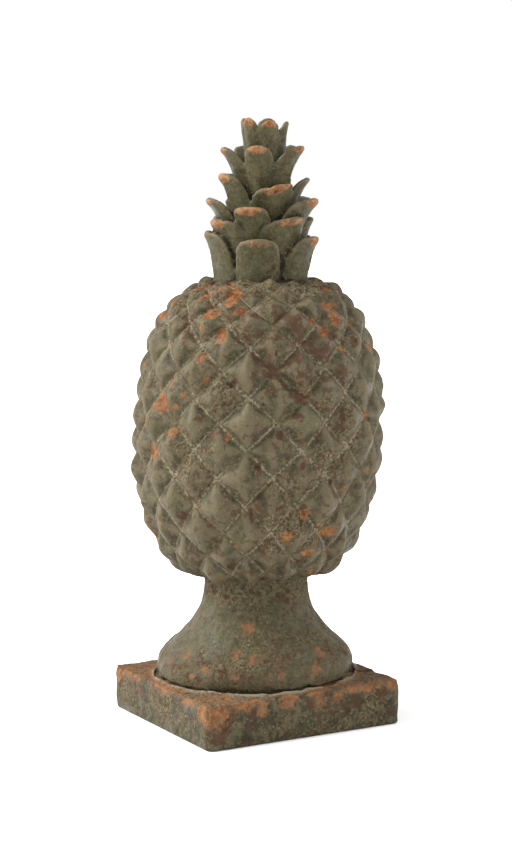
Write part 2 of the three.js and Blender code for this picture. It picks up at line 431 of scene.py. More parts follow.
def leaned(heights):
    """How far the lean moves what is at these heights above the plinth, along X and along Y."""
    slope = math.tan(math.radians(LEAN))
    towards = math.radians(LEAN_TOWARDS)
    return slope * math.cos(towards) * heights, slope * math.sin(towards) * heights


def placed_on_plinth(piece, sizes):
    """Moves what stands on the plinth up to its top, leaning by the same angle from there."""
    points = points_of(piece.data)
    along_x, along_y = leaned(points[:, 2])
    points[:, 0] += along_x
    points[:, 1] += along_y
    points[:, 2] += sizes.plinth_height
    set_points(piece.data, points)


def bezier(start, first, second, end, steps):
    """Points along a curve from start, which is left out, to end."""
    start, first, second, end = (np.array(point) for point in (start, first, second, end))
    shares = np.arange(1, steps + 1)[:, None] / steps
    rest = 1 - shares
    return (rest ** 3 * start + 3 * rest ** 2 * shares * first
            + 3 * rest * shares ** 2 * second + shares ** 3 * end).tolist()


def straight(start, end, steps):
    return bezier(start, start, end, end, steps)


class SetPlinth(bpy.types.Operator):
    """Make the square plinth with its rounded edges"""

    bl_idname = "ornament.plinth"
    bl_label = "Plinth"

    CELLS_ACROSS = 54
    CELLS_UP = 11

    def execute(self, context):
        sizes = context.scene.ornament_sizes
        half = sizes.plinth_side / 2
        across = self.stations(half, sizes.plinth_corner, sizes.plinth_edge, self.CELLS_ACROSS)
        upward = self.stations(sizes.plinth_height / 2, sizes.plinth_edge, sizes.plinth_edge, self.CELLS_UP)
        grids = (across, across, upward)
        numbers = {}
        points = []
        faces = []

        def point(place):
            if place not in numbers:
                numbers[place] = len(points)
                points.append([grids[axis][place[axis]] for axis in range(3)])
            return numbers[place]

        for axis in range(3):
            one, two = (axis + 1) % 3, (axis + 2) % 3
            for side in (0, len(grids[axis]) - 1):
                for i, j in itertools.product(range(len(grids[one]) - 1), range(len(grids[two]) - 1)):
                    loop = []
                    for a, b in ((i, j), (i + 1, j), (i + 1, j + 1), (i, j + 1)):
                        place = [0, 0, 0]
                        place[axis], place[one], place[two] = side, a, b
                        loop.append(point(tuple(place)))
                    faces.append(loop if side else loop[::-1])
        points = self.rounded(np.array(points), sizes)
        points[:, 2] += sizes.plinth_height / 2
        new_object("plinth", new_mesh("plinth", points, faces))
        return {"FINISHED"}

    def stations(self, half, corner, edge, count):
        """Places across a side, closer together over its rounded corners and edges."""
        rounding = [half - corner + (corner - edge) * share for share in (1 / 3, 2 / 3, 1) if corner > edge]
        rounding += [half - edge * (1 - share) for share in (0.25, 0.5, 0.75, 1)]
        inner = np.linspace(corner - half, half - corner, count).tolist()
        return [-place for place in reversed(rounding)] + inner + rounding

    def rounded(self, points, sizes):
        """Rounds the upright edges of the block by one radius and its level edges by another."""
        half_height = sizes.plinth_height / 2
        core = sizes.plinth_side / 2 - sizes.plinth_corner
        inner = np.clip(points[:, :2], -core, core)
        away = points[:, :2] - inner
        length = np.maximum(np.linalg.norm(away, axis=1), 1e-9)
        reach = abs(away).max(axis=1)
        beyond = np.maximum(reach - (sizes.plinth_corner - sizes.plinth_edge), 0)
        above = np.maximum(abs(points[:, 2]) - (half_height - sizes.plinth_edge), 0)
        share = sizes.plinth_edge / np.maximum(np.hypot(beyond, above), sizes.plinth_edge)
        reach -= beyond * (1 - share)
        points[:, :2] = inner + away / length[:, None] * reach[:, None]
        points[:, 2] -= np.sign(points[:, 2]) * above * (1 - share)
        return points


class SetFoot(bpy.types.Operator):
    """Make the waisted foot with the roll and the groove at its base"""

    bl_idname = "ornament.foot"
    bl_label = "Foot"

    SIDES = 220

    def execute(self, context):
        sizes = context.scene.ornament_sizes
        roll, groove, neck = sizes.roll_radius, sizes.groove_radius, sizes.neck_radius
        top = sizes.foot_height
        shoulder = roll - SHOULDER_INSET
        shoulder_height = ROLL_HEIGHT + ROLL_SHOULDER
        hollow = top - shoulder_height
        lip, lip_foot = LIP_RADIUS + LIP_WIDTH / 2, LIP_RADIUS - LIP_WIDTH / 2
        outline = [(0, -SINK), (groove / 2, -SINK), (lip, -SINK)]
        outline += straight((lip, -SINK), (lip, 0), 2)
        outline += bezier((lip, 0), (lip, LIP_HEIGHT), (lip_foot, LIP_HEIGHT), (lip_foot, 0), 5)
        outline += straight((lip_foot, 0), (groove, -GROOVE_GAPE), 2)
        outline += bezier((groove, -GROOVE_GAPE), (roll - ROLL_UNDERCUT, GROOVE_GAPE),
                          (roll, 0.4 * ROLL_HEIGHT), (roll, ROLL_HEIGHT), 8)
        outline += bezier((roll, ROLL_HEIGHT), (roll, ROLL_HEIGHT + 0.4 * ROLL_SHOULDER),
                          (shoulder + SHOULDER_BULGE, ROLL_HEIGHT + 0.7 * ROLL_SHOULDER),
                          (shoulder, shoulder_height - SHOULDER_EASE), 9)
        bow = (shoulder - FOOT_BOW_IN * (shoulder - neck), shoulder_height + FOOT_BOW_UP * hollow)
        outline += bezier((shoulder, shoulder_height - SHOULDER_EASE), bow,
                          (neck, top - NECK_SHARE * hollow), (neck, top), 30)
        outline += straight((neck, top), (neck, top + 2 * SINK), 4)
        outline.append((0, top + 2 * SINK))
        points, faces = lathe(outline, self.SIDES)
        placed_on_plinth(new_object("foot", new_mesh("foot", points, faces)), sizes)
        return {"FINISHED"}


class SetFruit(bpy.types.Operator):
    """Make the fruit, whose skin is a net of staggered raised diamonds"""

    bl_idname = "ornament.fruit"
    bl_label = "Fruit"

    FINENESS = 10
    CAP_RINGS = 9
    CAP_REACH = 0.97
    OUTLINE_POINTS = 500

    def execute(self, context):
        sizes = context.scene.ornament_sizes
        levels = sizes.diamond_rows + 1
        steps = 2 * sizes.diamonds_around
        recipe = self.recipe(sizes, levels)
        fruit = recipe.grow("fruit", self.net(levels, steps))
        points = points_of(fruit.data)
        points[:, 2] += sizes.foot_height
        set_points(fruit.data, points)
        placed_on_plinth(fruit, sizes)
        return {"FINISHED"}

    def net(self, levels, steps):
        """The skin laid flat: x counts steps round the fruit, y counts levels down from the crown.
        A square is cut along the groove that runs through it, so that grooves come out sharp."""
        fine = self.FINENESS
        columns = steps * fine
        cap = np.linspace(-self.CAP_REACH, 0, self.CAP_RINGS)[:-1]
        rows = np.concatenate([cap, np.arange(levels * fine + 1) / fine, levels - cap[::-1]])
        points = [(column / fine, row, 0) for row in rows for column in range(columns)]
        faces = []
        for quad in wound_rings(len(rows), columns):
            corner = points[quad[0]]
            row = math.floor(corner[1] + 0.5 / fine)
            step = math.floor(corner[0] + 0.5 / fine)
            if (row + step) % 2:
                faces += [(quad[0], quad[2], quad[1]), (quad[0], quad[3], quad[2])]
            else:
                faces += [(quad[0], quad[3], quad[1]), (quad[1], quad[3], quad[2])]
        for pole, ring in ((-1, 0), (levels + 1, (len(rows) - 1) * columns)):
            points.append((0, pole, 0))
            for column in range(columns):
                beside = (column + 1) % columns
                pair = (ring + column, ring + beside) if pole < 0 else (ring + beside, ring + column)
                faces.append((len(points) - 1,) + pair)
        return new_mesh("fruit_net", points, faces)

    def recipe(self, sizes, levels):
        """The rule that wraps the flat net round the fruit and raises its diamonds."""
        web = Recipe("Pineapple skin")
        radius = web.ask("Radius", sizes.fruit_radius)
        length = web.ask("Length", sizes.fruit_length)
        belly = web.ask("Belly height", sizes.belly_height)
        pole_margin = web.ask("Pole margin", POLE_MARGIN)
        upper = web.ask("Shoulder fullness", SHOULDER_FULLNESS)
        lower = web.ask("Underside fullness", UNDERSIDE_FULLNESS)
        around = web.ask("Diamonds around", float(sizes.diamonds_around))
        rows = web.ask("Levels", float(levels))
        height = web.ask("Diamond height", sizes.diamond_height)
        groove = web.ask("Groove share", GROOVE_SHARE)
        shoulder = web.ask("Shoulder share", SHOULDER_SHARE)
        top_margin = web.ask("Top margin", TOP_MARGIN)
        bottom_margin = web.ask("Bottom margin", BOTTOM_MARGIN)
        crowding = web.ask("Row crowding", ROW_CROWDING)
        turn = web.ask("Turn of the first row", math.radians(FRONT + FIRST_DIAMOND))
        uneven = web.ask("Unevenness of the diamonds", TIP_UNEVENNESS)
        astray = web.ask("How far ridges stand aside", RIDGE_ASTRAY)
        worn = web.ask("Wear of the ridge across", WORN_RIDGE)
        seed = web.ask("Seed", DIAMOND_SEED)
        material = web.ask("Material", clay_material())

        # Outline from the lower to the upper pole
        line = web.add("GeometryNodeCurvePrimitiveLine", {}, {"End": (0, 0, 1)})
        line = web.add("GeometryNodeResampleCurve", {}, {"Curve": line, "Count": self.OUTLINE_POINTS})
        share = web.add("GeometryNodeSplineParameter")
        angle = (share - 0.5) * math.pi
        above = web.math("GREATER_THAN", angle, 0.0)
        reach = pole_margin + belly + above * (length - 2 * belly)
        fullness = 2 * (lower + above * (upper - lower))
        cosine = web.math("MAXIMUM", web.math("COSINE", angle), 0.0)
        place = web.add("ShaderNodeCombineXYZ", {}, {
            "X": radius * cosine ** fullness, "Z": belly + reach * web.math("SINE", angle),
        })
        outline = web.add("GeometryNodeSetPosition", {}, {"Geometry": line, "Position": place})
        arc = web.add("GeometryNodeCurveLength", {}, {"Curve": outline})

        # Place of each point on the outline, from its level
        step, level, _ = web.parts(web.add("GeometryNodeInputPosition"))
        inside = web.math("MINIMUM", web.math("MAXIMUM", level, 0.0), rows)
        over = web.math("MINIMUM", level, 0.0)
        under = web.math("MAXIMUM", level - rows, 0.0)
        from_top = (top_margin * (1 + over) + bottom_margin * under
                    + (arc - top_margin - bottom_margin) * (inside / rows) ** crowding)
        sample = web.make("GeometryNodeSampleCurve", {"mode": "FACTOR"},
                          {"Curves": outline, "Factor": 1 - from_top / arc})
        at_radius, _, at_height = web.parts(Wire(web, sample.outputs["Position"]))
        along_out, _, along_up = web.parts(Wire(web, sample.outputs["Tangent"]))

        # Way to the nearest tip on the slanting net of grooves, and each diamond's own random numbers
        one = (step + level) / 2
        two = (level - step) / 2
        near_one = web.math("ROUND", one)
        near_two = web.math("ROUND", two)
        down = level - near_one - near_two
        aside = step - near_one + near_two
        way = abs(down) + abs(aside)
        tip_level = near_one + near_two
        tip_step = web.math("FLOORED_MODULO", near_one - near_two, 2 * around)
        number = web.add("FunctionNodeFloatToInt", {}, {0: tip_step + 2 * around * tip_level})

        def chance_of(which, low, high, chosen):
            return web.add("FunctionNodeRandomValue", {"data_type": "FLOAT"},
                           {"Min": low, "Max": high, "ID": which, "Seed": chosen}, 1)

        # Depth below the tips: the ridge down a diamond is crisp, and the one across it is worn round
        shifted = abs(aside - astray * chance_of(number, -0.5, 0.5, seed + 1) * (1 - way))
        across = (web.math("SQRT", down * down + worn * worn) - worn) / (
            web.math("SQRT", 1 + worn * worn) - worn)
        gentle = (shifted + across) / (1 - groove) * (1 - shoulder)
        steep = 1 - shoulder * (1 - way) / groove
        depth = web.math("MAXIMUM", gentle, steep)
        raised = (web.math("GREATER_THAN", tip_level, 0.5)
                  * web.math("LESS_THAN", tip_level, rows - 0.5))
        lowered = depth + (1 - depth) * uneven * chance_of(number, 0.0, 1.0, seed)
        depth = 1 - raised * (1 - lowered)
        drop = depth * height * (at_radius / radius) ** DEPTH_TAPER
        drop = drop * web.math("MINIMUM", POLE_FADE * web.math("MINIMUM", 1 + over, 1 - under), 1.0)

        bent_radius = web.math("MAXIMUM", at_radius - drop * along_up, 0.0)
        bent_height = at_height + drop * along_out
        heading = turn + step * math.pi / around
        place = web.add("ShaderNodeCombineXYZ", {}, {
            "X": bent_radius * web.math("COSINE", heading),
            "Y": bent_radius * web.math("SINE", heading),
            "Z": bent_height,
        })

        # Kept for the weathering while the net is flat: how near a groove is, each facet's random number,
        # and which diamonds are raised
        facet = web.add("FunctionNodeFloatToInt", {}, {
            0: 4 * (tip_step + 2 * around * tip_level) + 2 * web.math("GREATER_THAN", down, 0.0)
            + web.math("GREATER_THAN", aside, 0.0),
        })
        chance = chance_of(facet, 0.05, 1.0, seed)
        skin = web.start()
        for name, value in (("groove", way), ("facet", chance), ("raised", raised)):
            skin = web.add("GeometryNodeStoreNamedAttribute", {"data_type": "FLOAT"},
                           {"Geometry": skin, "Name": name, "Value": value})
        skin = web.add("GeometryNodeSetPosition", {}, {"Geometry": skin, "Position": place})
        web.finish(skin, material)
        return web


class SetCrown(bpy.types.Operator):
    """Make the crown, with tiers of leaves round a core"""

    bl_idname = "ornament.crown"
    bl_label = "Crown"

    SIDES = 28
    STEPS = 22
    STEP_CROWDING = 1.6
    TIP_RINGS = ((1, 0.25), (1, 0.55), (1, 0.8))
    CORE_SIDES = 48
    JOIN_VOXEL = 1.08 * UNIT

    def execute(self, context):
        sizes = context.scene.ornament_sizes
        leaves = self.recipe(sizes).grow("leaves", self.roots(sizes))
        discard(bpy.data.objects["leaf_net"])
        core = new_object("core", self.core())
        with context.temp_override(active_object=leaves, selected_editable_objects=[leaves, core]):
            bpy.ops.object.join()
        remesh = leaves.modifiers.new("Join", "REMESH")
        remesh.mode = "VOXEL"
        remesh.voxel_size = self.JOIN_VOXEL
        crown = baked(leaves, "crown")
        points = points_of(crown.data)
        points[:, 2] += sizes.foot_height + sizes.fruit_length
        set_points(crown.data, points)
        placed_on_plinth(crown, sizes)
        return {"FINISHED"}

    def core(self):
        outline = [(0, -CROWN_SINK)]
        for root_radius, root_height, *_ in TIERS:
            radius, height = root_radius * CROWN_RADIUS, root_height * CROWN_HEIGHT
            outline.append((radius - CORE_INSET, height - CROWN_SINK))
        outline += [(CORE_TOP_RADIUS, CORE_TOP_HEIGHT), (0, CORE_TOP_HEIGHT)]
        return new_mesh("core", *lathe(outline, self.CORE_SIDES))

    def roots(self, sizes):
        """A point for each leaf, all at the origin, that carries its tier's sizes."""
        names = ("root_radius", "root_height", "tip_radius", "tip_height", "turn", "slant", "width")
        table = {name: [] for name in names}
        for root_radius, root_height, tip_radius, tip_height, leaves in TIERS:
            girth = sizes.leaf_spread * math.pi * (root_radius + tip_radius) * CROWN_RADIUS
            for turn, rise, tilt, breadth, _ in leaves:
                values = (root_radius * CROWN_RADIUS, root_height * CROWN_HEIGHT - CROWN_SINK,
                          tip_radius * CROWN_RADIUS, (tip_height + rise) * CROWN_HEIGHT,
                          math.radians(FRONT + turn), math.tan(math.radians(tilt)), breadth * girth)
                for name, value in zip(names, values):
                    table[name].append(value)
        mesh = new_mesh("leaf_roots", [(0, 0, 0)] * len(table["turn"]), [])
        for name, values in table.items():
            mesh.attributes.new(name, "FLOAT", "POINT").data.foreach_set("value", values)
        return mesh

    def leaf_net(self):
        """A leaf as a closed tube: x runs from root to tip, y round a section from 0 to 1, and z is how
        far a point is drawn in towards the middle of the end."""
        shares = [1 - (1 - step / self.STEPS) ** self.STEP_CROWDING for step in range(self.STEPS + 1)]
        rings = [(0, 0.5), *((share, 0) for share in shares), *self.TIP_RINGS]
        points = [(share, side / self.SIDES, drawn_in) for share, drawn_in in rings
                  for side in range(self.SIDES)]
        faces = wound_rings(len(rings), self.SIDES)
        points += [(0, 0, 1), (1, 0, 1)]
        last = (len(rings) - 1) * self.SIDES
        for side in range(self.SIDES):
            beside = (side + 1) % self.SIDES
            faces.append((len(points) - 2, beside, side))
            faces.append((len(points) - 1, last + side, last + beside))
        return new_object("leaf_net", new_mesh("leaf_net", points, faces))

    def recipe(self, sizes):
        """The rule that puts a leaf at each root and bends it outwards."""
        web = Recipe("Crown leaves")
        net = self.leaf_net()
        leaf = web.ask("Leaf net", net)
        root_thickness = web.ask("Root thickness", sizes.leaf_root_thickness)
        tip_thickness = web.ask("Tip thickness", sizes.leaf_tip_thickness)
        keel = web.ask("Keel", LEAF_KEEL)
        dome = web.ask("Rounding of the tip", LEAF_DOME)
        material = web.ask("Material", clay_material())

        info = web.add("GeometryNodeObjectInfo", {}, {"Object": leaf}, "Geometry")
        set_out = web.add("GeometryNodeInstanceOnPoints", {}, {"Points": web.start(), "Instance": info})
        real = web.add("GeometryNodeRealizeInstances", {}, {"Geometry": set_out})

        def carried(name):
            return web.add("GeometryNodeInputNamedAttribute", {"data_type": "FLOAT"}, {"Name": name})

        share, turned_by, drawn_in = web.parts(web.add("GeometryNodeInputPosition"))
        section = turned_by * (2 * math.pi)
        spread = 1 - drawn_in

        # The outer face follows a curve from the root to the tip in a plane through the axis
        root_radius, tip_radius = carried("root_radius"), carried("tip_radius")
        root_height, tip_height = carried("root_height"), carried("tip_height")
        out = tip_radius - root_radius
        up = tip_height - root_height
        at_radius = root_radius + out * (2 * share * (1 - share) * BEND_OUT + share * share)
        at_height = root_height + up * (2 * share * (1 - share) * BEND_UP + share * share)
        slope_out = out * ((1 - 2 * share) * (2 * BEND_OUT) + 2 * share)
        slope_up = up * ((1 - 2 * share) * (2 * BEND_UP) + 2 * share)
        slope = web.math("SQRT", slope_out * slope_out + slope_up * slope_up)
        along_out, along_up = slope_out / slope, slope_up / slope

        # Its section is wrapped round the core, with a soft keel down its middle
        taper = web.math("SQRT", 1 - abs((share - LEAF_WIDEST) / LEAF_NARROWING) ** LEAF_SQUARENESS)
        half = carried("width") / 2 * taper * spread
        cosine = web.math("COSINE", section)
        sine = web.math("SINE", section) * spread
        aside = abs(cosine) * spread
        thickness = root_thickness + (tip_thickness - root_thickness) * share
        wrap = half * half / (2 * at_radius) * cosine * cosine
        ridge = keel * (1 - aside) * (1 - share * share)
        inward = wrap + thickness * (1 - sine) / 2 - ridge * (sine / 2 + 0.5)
        bulge = dome * (1 - spread * spread) * share
        radius = at_radius - inward * along_up + bulge * along_out
        height = at_height + inward * along_out + bulge * along_up
        height = height - carried("slant") * share * share * half * cosine
        place = web.add("ShaderNodeCombineXYZ", {}, {"X": radius, "Y": 0 - half * cosine, "Z": height})
        turned = web.add("ShaderNodeVectorRotate", {"rotation_type": "Z_AXIS"},
                         {"Vector": place, "Angle": carried("turn")})
        leaves = web.add("GeometryNodeSetPosition", {}, {"Geometry": real, "Position": turned})
        web.finish(leaves, material)
        return web


def clouds(points, size, seed):
    """Smooth random values from -1 to 1 that change over about the given size."""
    lattice = np.random.default_rng(seed).uniform(-1, 1, (64, 64, 64))
    place = points / size + 0.37
    cell = np.floor(place).astype(int)
    share = place - cell
    share = share * share * (3 - 2 * share)
    values = np.zeros(len(points))
    for corner in itertools.product((0, 1), repeat=3):
        weight = np.prod(np.where(corner, share, 1 - share), axis=1)
        values += weight * lattice[tuple(((cell + corner) % 64).T)]
    return values


def soft_step(values, low, high):
    share = np.clip((values - low) / (high - low), 0, 1)
    return share * share * (3 - 2 * share)


class Skin:
    """The points of a mesh as arrays, with what weathering needs to know of them."""

    def __init__(self, mesh, sizes):
        self.mesh = mesh
        self.sizes = sizes
        self.points = points_of(mesh)
        edges = np.empty(2 * len(mesh.edges), np.int32)
        mesh.edges.foreach_get("vertices", edges)
        self.edges = edges.reshape(-1, 2)
        self.count = len(self.points)
        self.links = np.bincount(self.edges.ravel(), minlength=self.count).clip(1)
        self.height = self.points[:, 2].copy()
        along_x, along_y = leaned(np.maximum(self.height - sizes.plinth_height, 0))
        self.out_x = self.points[:, 0] - along_x
        self.out_y = self.points[:, 1] - along_y
        self.radius = np.hypot(self.out_x, self.out_y)
        self.heading = np.degrees(np.arctan2(self.out_y, self.out_x)) - FRONT

        # Levels between the parts of the ornament, and how far each point belongs to a part
        self.top = sizes.plinth_height
        self.neck = self.top + sizes.foot_height
        self.shoulder = self.neck + sizes.fruit_length
        self.raised = self.stored("raised")
        self.groove = self.stored("groove") * self.raised
        self.facet = self.stored("facet")
        self.standing = soft_step(self.height, 0.2 * UNIT, 2 * UNIT)
        self.on_fruit = soft_step(self.facet, 0.0, 0.05)
        above_fruit = soft_step(self.height, self.shoulder - 4 * UNIT, self.shoulder)
        self.on_crown = (1 - self.on_fruit) * above_fruit
        self.on_plinth = 1 - soft_step(self.height, self.top - 0.5 * UNIT, self.top + 1.5 * UNIT)
        self.on_foot = (1 - self.on_fruit) * (1 - self.on_crown) * (1 - self.on_plinth)
        self.joints = np.maximum(self.band(self.neck, 7 * UNIT),
                                 self.band(self.shoulder - 3 * UNIT, 6 * UNIT))

    def stored(self, name):
        values = np.empty(self.count, np.float32)
        self.mesh.attributes[name].data.foreach_get("value", values)
        return values.astype(float)

    def normals(self):
        set_points(self.mesh, self.points)
        values = np.empty(3 * self.count, np.float32)
        self.mesh.vertex_normals.foreach_get("vector", values)
        return values.reshape(-1, 3).astype(float)

    def averaged(self, values, times=1):
        """Each point's value, or row of values, replaced again and again by its neighbours' mean."""
        one, two = self.edges.T
        single = values.ndim == 1
        values = values.reshape(self.count, -1)
        for _ in range(times):
            fresh = np.empty_like(values)
            for column in range(values.shape[1]):
                channel = values[:, column]
                fresh[:, column] = (np.bincount(one, channel[two], self.count)
                                    + np.bincount(two, channel[one], self.count))
            values = fresh / self.links[:, None]
        return values[:, 0] if single else values

    def soften(self, times, share):
        for _ in range(times):
            change = self.averaged(self.points) - self.points
            self.points += 0.5 * change * share[:, None]

    def bulge(self, times):
        """How far each point stands out from its neighbourhood, in units."""
        away = self.points - self.averaged(self.points, times)
        return np.einsum("ij,ij->i", away, self.normals()) / UNIT

    def push(self, amounts):
        self.points += self.normals() * amounts[:, None]

    def clouds(self, size, seed):
        return clouds(self.points, size * UNIT, seed)

    def patch(self, turn, height, half_width, half_height):
        """1 in the middle of a patch on the skin and 0 from its edge, in degrees and units."""
        turned = (self.heading - turn + 180) % 360 - 180
        aside = np.radians(turned) * self.radius / (half_width * UNIT)
        upward = (self.height - height * UNIT) / (half_height * UNIT)
        return np.clip(1 - np.hypot(aside, upward), 0, 1)

    def patches(self, marks):
        """The strongest of many patches at each point."""
        values = np.zeros(self.count)
        for mark in marks:
            values = np.maximum(values, self.patch(*mark))
        return values

    def blocks(self, marks):
        """The strongest of many patches on the plinth, each by its middle and half sizes."""
        values = np.zeros(self.count)
        for mark in marks:
            middle, half = np.array(mark[:3]) * UNIT, np.array(mark[3:]) * UNIT
            away = np.linalg.norm((self.points - middle) / half, axis=1)
            values = np.maximum(values, np.clip(1.4 * (1 - away), 0, 1))
        return values

    def band(self, middle, half_height):
        return soft_step(-abs(self.height - middle), -half_height, 0)

    def keep(self, name, values):
        attribute = self.mesh.attributes.new(name, "FLOAT", "POINT")
        attribute.data.foreach_set("value", values.astype(np.float32))


class FinishOrnament(bpy.types.Operator):
    """Join plinth, foot, fruit and crown into one body and weather its skin"""

    bl_idname = "ornament.finish"
    bl_label = "Join and weather"

    WORN_DEPTH = 0.5 * UNIT
    PIT_DEPTH = 0.7 * UNIT
    BITE = 0.33

    def execute(self, context):
        others = ("foot", "crown", "plinth")
        body = bpy.data.objects["fruit"]
        for name in others:
            union = body.modifiers.new(name, "BOOLEAN")
            union.operation = "UNION"
            union.solver = "MANIFOLD"
            union.object = bpy.data.objects[name]
        body = baked(body, "weathered_ornament")
        for name in others:
            discard(bpy.data.objects[name])
        self.weather(Skin(body.data, context.scene.ornament_sizes), context.scene.ornament_wear)
        body.data.materials.clear()
        body.data.materials.append(clay_material())
        body.data.shade_smooth()
        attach(body, "root")
        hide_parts(NODE)
        return {"FINISHED"}

    def weather(self, skin, wear):
        """Wears the skin in the order in which it was worn, and keeps on it what the material needs."""
        hollow, ridge = self.settle(skin, wear)
        dust = self.dust(skin, wear, hollow)
        random = np.random.default_rng(wear.seed)
        bare, stain = self.marks(skin, wear, random, ridge)
        skin.push(-self.WORN_DEPTH * skin.standing * soft_step(bare, 0.35, 0.6) * (1 - skin.on_crown))
        lip = soft_step(-abs(skin.radius - LIP_RADIUS), -2.6 * UNIT, -0.8 * UNIT)
        lip = lip * skin.band(skin.top + LIP_HEIGHT / 2, 2.4 * UNIT)
        pit = self.pits(skin, wear, random)
        self.chips(skin, wear, random, ridge * skin.on_plinth * skin.standing)
        set_points(skin.mesh, skin.points)
        for name, values in (
            ("dust", dust), ("bare", bare), ("stain", stain), ("pit", pit), ("lip", lip),
            ("ridge", ridge), ("hollow", hollow), ("crown", skin.on_crown), ("foot", skin.on_foot),
            ("plinth", skin.on_plinth), ("tone", (skin.facet - 0.5) * skin.on_fruit),
        ):
            skin.keep(name, values)

    def settle(self, skin, wear):
        """Pressing and firing leave soft edges, filled joints and a skin that wanders a little. Returns how
        far each point then lies in a hollow and how far it stands out."""
        seed, standing = wear.seed, skin.standing
        rim = skin.band(skin.top, 4 * UNIT) * soft_step(skin.radius, 58 * UNIT, 60 * UNIT)
        skin.soften(1, standing)
        skin.soften(7, np.maximum(skin.joints, 0.8 * rim) * standing)
        skin.soften(5, skin.raised * soft_step(skin.clouds(17, seed + 9), 0.1, 0.6))
        for axis in range(3):
            aside = skin.clouds(19, seed + 10 + axis)
            skin.points[:, axis] += wear.drift * skin.on_fruit * standing * aside
        wander = 0.6 * skin.clouds(34, seed) + 0.5 * skin.clouds(11, seed + 1)
        wander += 0.35 * skin.clouds(5.5, seed + 13)
        skin.push(wear.unevenness * standing * wander)
        return -skin.bulge(14), skin.bulge(3)

    def dust(self, skin, wear, hollow):
        """How much dust lies at each point. It lies as grit that stands up a little."""
        seed, groove, raised = wear.seed, skin.groove, skin.raised
        loose = 0.6 * skin.clouds(24, seed + 2) + 0.5 * skin.clouds(9, seed + 3)
        clean = soft_step(skin.facet, 0.45, 0.6) * (1 - soft_step(groove, 0.84, 0.94)) * raised
        caught = np.clip(hollow, -1, 1.5) * (1 - raised) + 0.8 * soft_step(groove, 0.84, 1)
        dust = 0.36 + 0.55 * loose + 0.3 * caught - 0.3 * clean
        dust = dust - 0.4 * skin.on_crown + 1.1 * skin.on_crown * soft_step(hollow, 0.1, 0.8)
        dust = dust + 0.22 * skin.on_foot
        at_base = skin.band(skin.top + 0.5 * UNIT, 3 * UNIT)
        dust += 0.9 * skin.joints + 0.55 * at_base + 0.5 * skin.patches(GRIT)
        dust -= 0.6 * skin.patches(CLEAN)
        grit = soft_step(dust, 0.2, 0.8)
        roll = skin.on_foot * skin.band(skin.top + 4 * UNIT, 14 * UNIT)
        lumps = 0.6 * skin.clouds(1.7, seed + 4) + 0.6 * skin.clouds(3.4, seed + 5)
        lumps += (0.9 * skin.on_foot + 1.1 * roll) * skin.clouds(7, seed + 8) * grit
        lumps += 1.2 * roll * skin.clouds(4.2, seed + 15)
        skin.push(wear.grain * skin.standing * (0.3 + 0.7 * grit) * lumps)
        return dust

    def marks(self, skin, wear, random, ridge):
        """Bare clay and stains, listed where the front shows them and at random elsewhere."""
        seed = wear.seed
        top, low, high = skin.top / UNIT, skin.neck / UNIT, skin.shoulder / UNIT - 12
        behind, all_round = (78, 268), (-92, 268)
        clay_marks = list(BARE_CLAY) + self.scattered(random, 34, behind, (low, high), (3, 9))
        flecks = self.scattered(random, 110, all_round, (low, high), (1.2, 3))
        flecks += self.scattered(random, 26, (-180, 180), (top + 3, low - 20), (1.6, 4))
        stain_marks = list(STAINS) + self.scattered(random, 14, behind, (low, high), (4, 10))
        stain_marks += self.scattered(random, 60, all_round, (low - 30, high), (2, 5))
        bare = np.maximum(soft_step(skin.patches(clay_marks), 0.0, 0.75),
                          0.55 * soft_step(skin.patches(flecks), 0.0, 0.6))
        bare = np.maximum(bare * (1 - 0.42 * skin.on_foot), self.leaf_tips(skin))
        edges = skin.on_plinth * soft_step(ridge, 0.02, 0.12) * soft_step(skin.height, 8 * UNIT, 14 * UNIT)
        tread = skin.band(skin.top, 2 * UNIT) * (0.42 + 0.3 * skin.clouds(13, seed + 14))
        bare = np.maximum(bare, np.maximum(tread, edges * (0.35 + 0.5 * skin.clouds(16, seed + 6))))
        bare = np.maximum(bare, 0.8 * skin.blocks(PLINTH_CLAY))
        stain = 0.85 * soft_step(skin.patches(stain_marks), 0.0, 0.8)
        stain = np.maximum(stain, 0.47 * soft_step(skin.patches(BROWNED), 0.0, 0.5))
        return bare, np.maximum(stain, skin.blocks(PLINTH_STAINS))

    def scattered(self, random, count, turns, heights, sizes):
        """Patches at random places between two turns and two heights."""
        marks = []
        for _ in range(count):
            size = random.uniform(*sizes)
            marks.append((random.uniform(*turns), random.uniform(*heights), size,
                          size * random.uniform(0.6, 1.3)))
        return marks

    def leaf_tips(self, skin):
        """How worn the skin is round the tip of each leaf."""
        worn = np.zeros(skin.count)
        for root_radius, _, tip_radius, tip_height, leaves in TIERS:
            girth = skin.sizes.leaf_spread * math.pi * (root_radius + tip_radius) * CROWN_RADIUS
            for turn, rise, tilt, breadth, strength in leaves:
                angle = math.radians(FRONT + turn)
                out = skin.out_x * math.cos(angle) + skin.out_y * math.sin(angle)
                aside = skin.out_y * math.cos(angle) - skin.out_x * math.sin(angle)
                height = (skin.shoulder + (tip_height + rise) * CROWN_HEIGHT
                          + math.tan(math.radians(tilt)) * aside)
                gap = np.sqrt((out - tip_radius * CROWN_RADIUS) ** 2
                              + np.maximum(abs(aside) - 0.28 * breadth * girth, 0) ** 2
                              + (skin.height - height) ** 2) / UNIT
                worn = np.maximum(worn, strength * soft_step(-gap, -4.8, -1))
        return worn

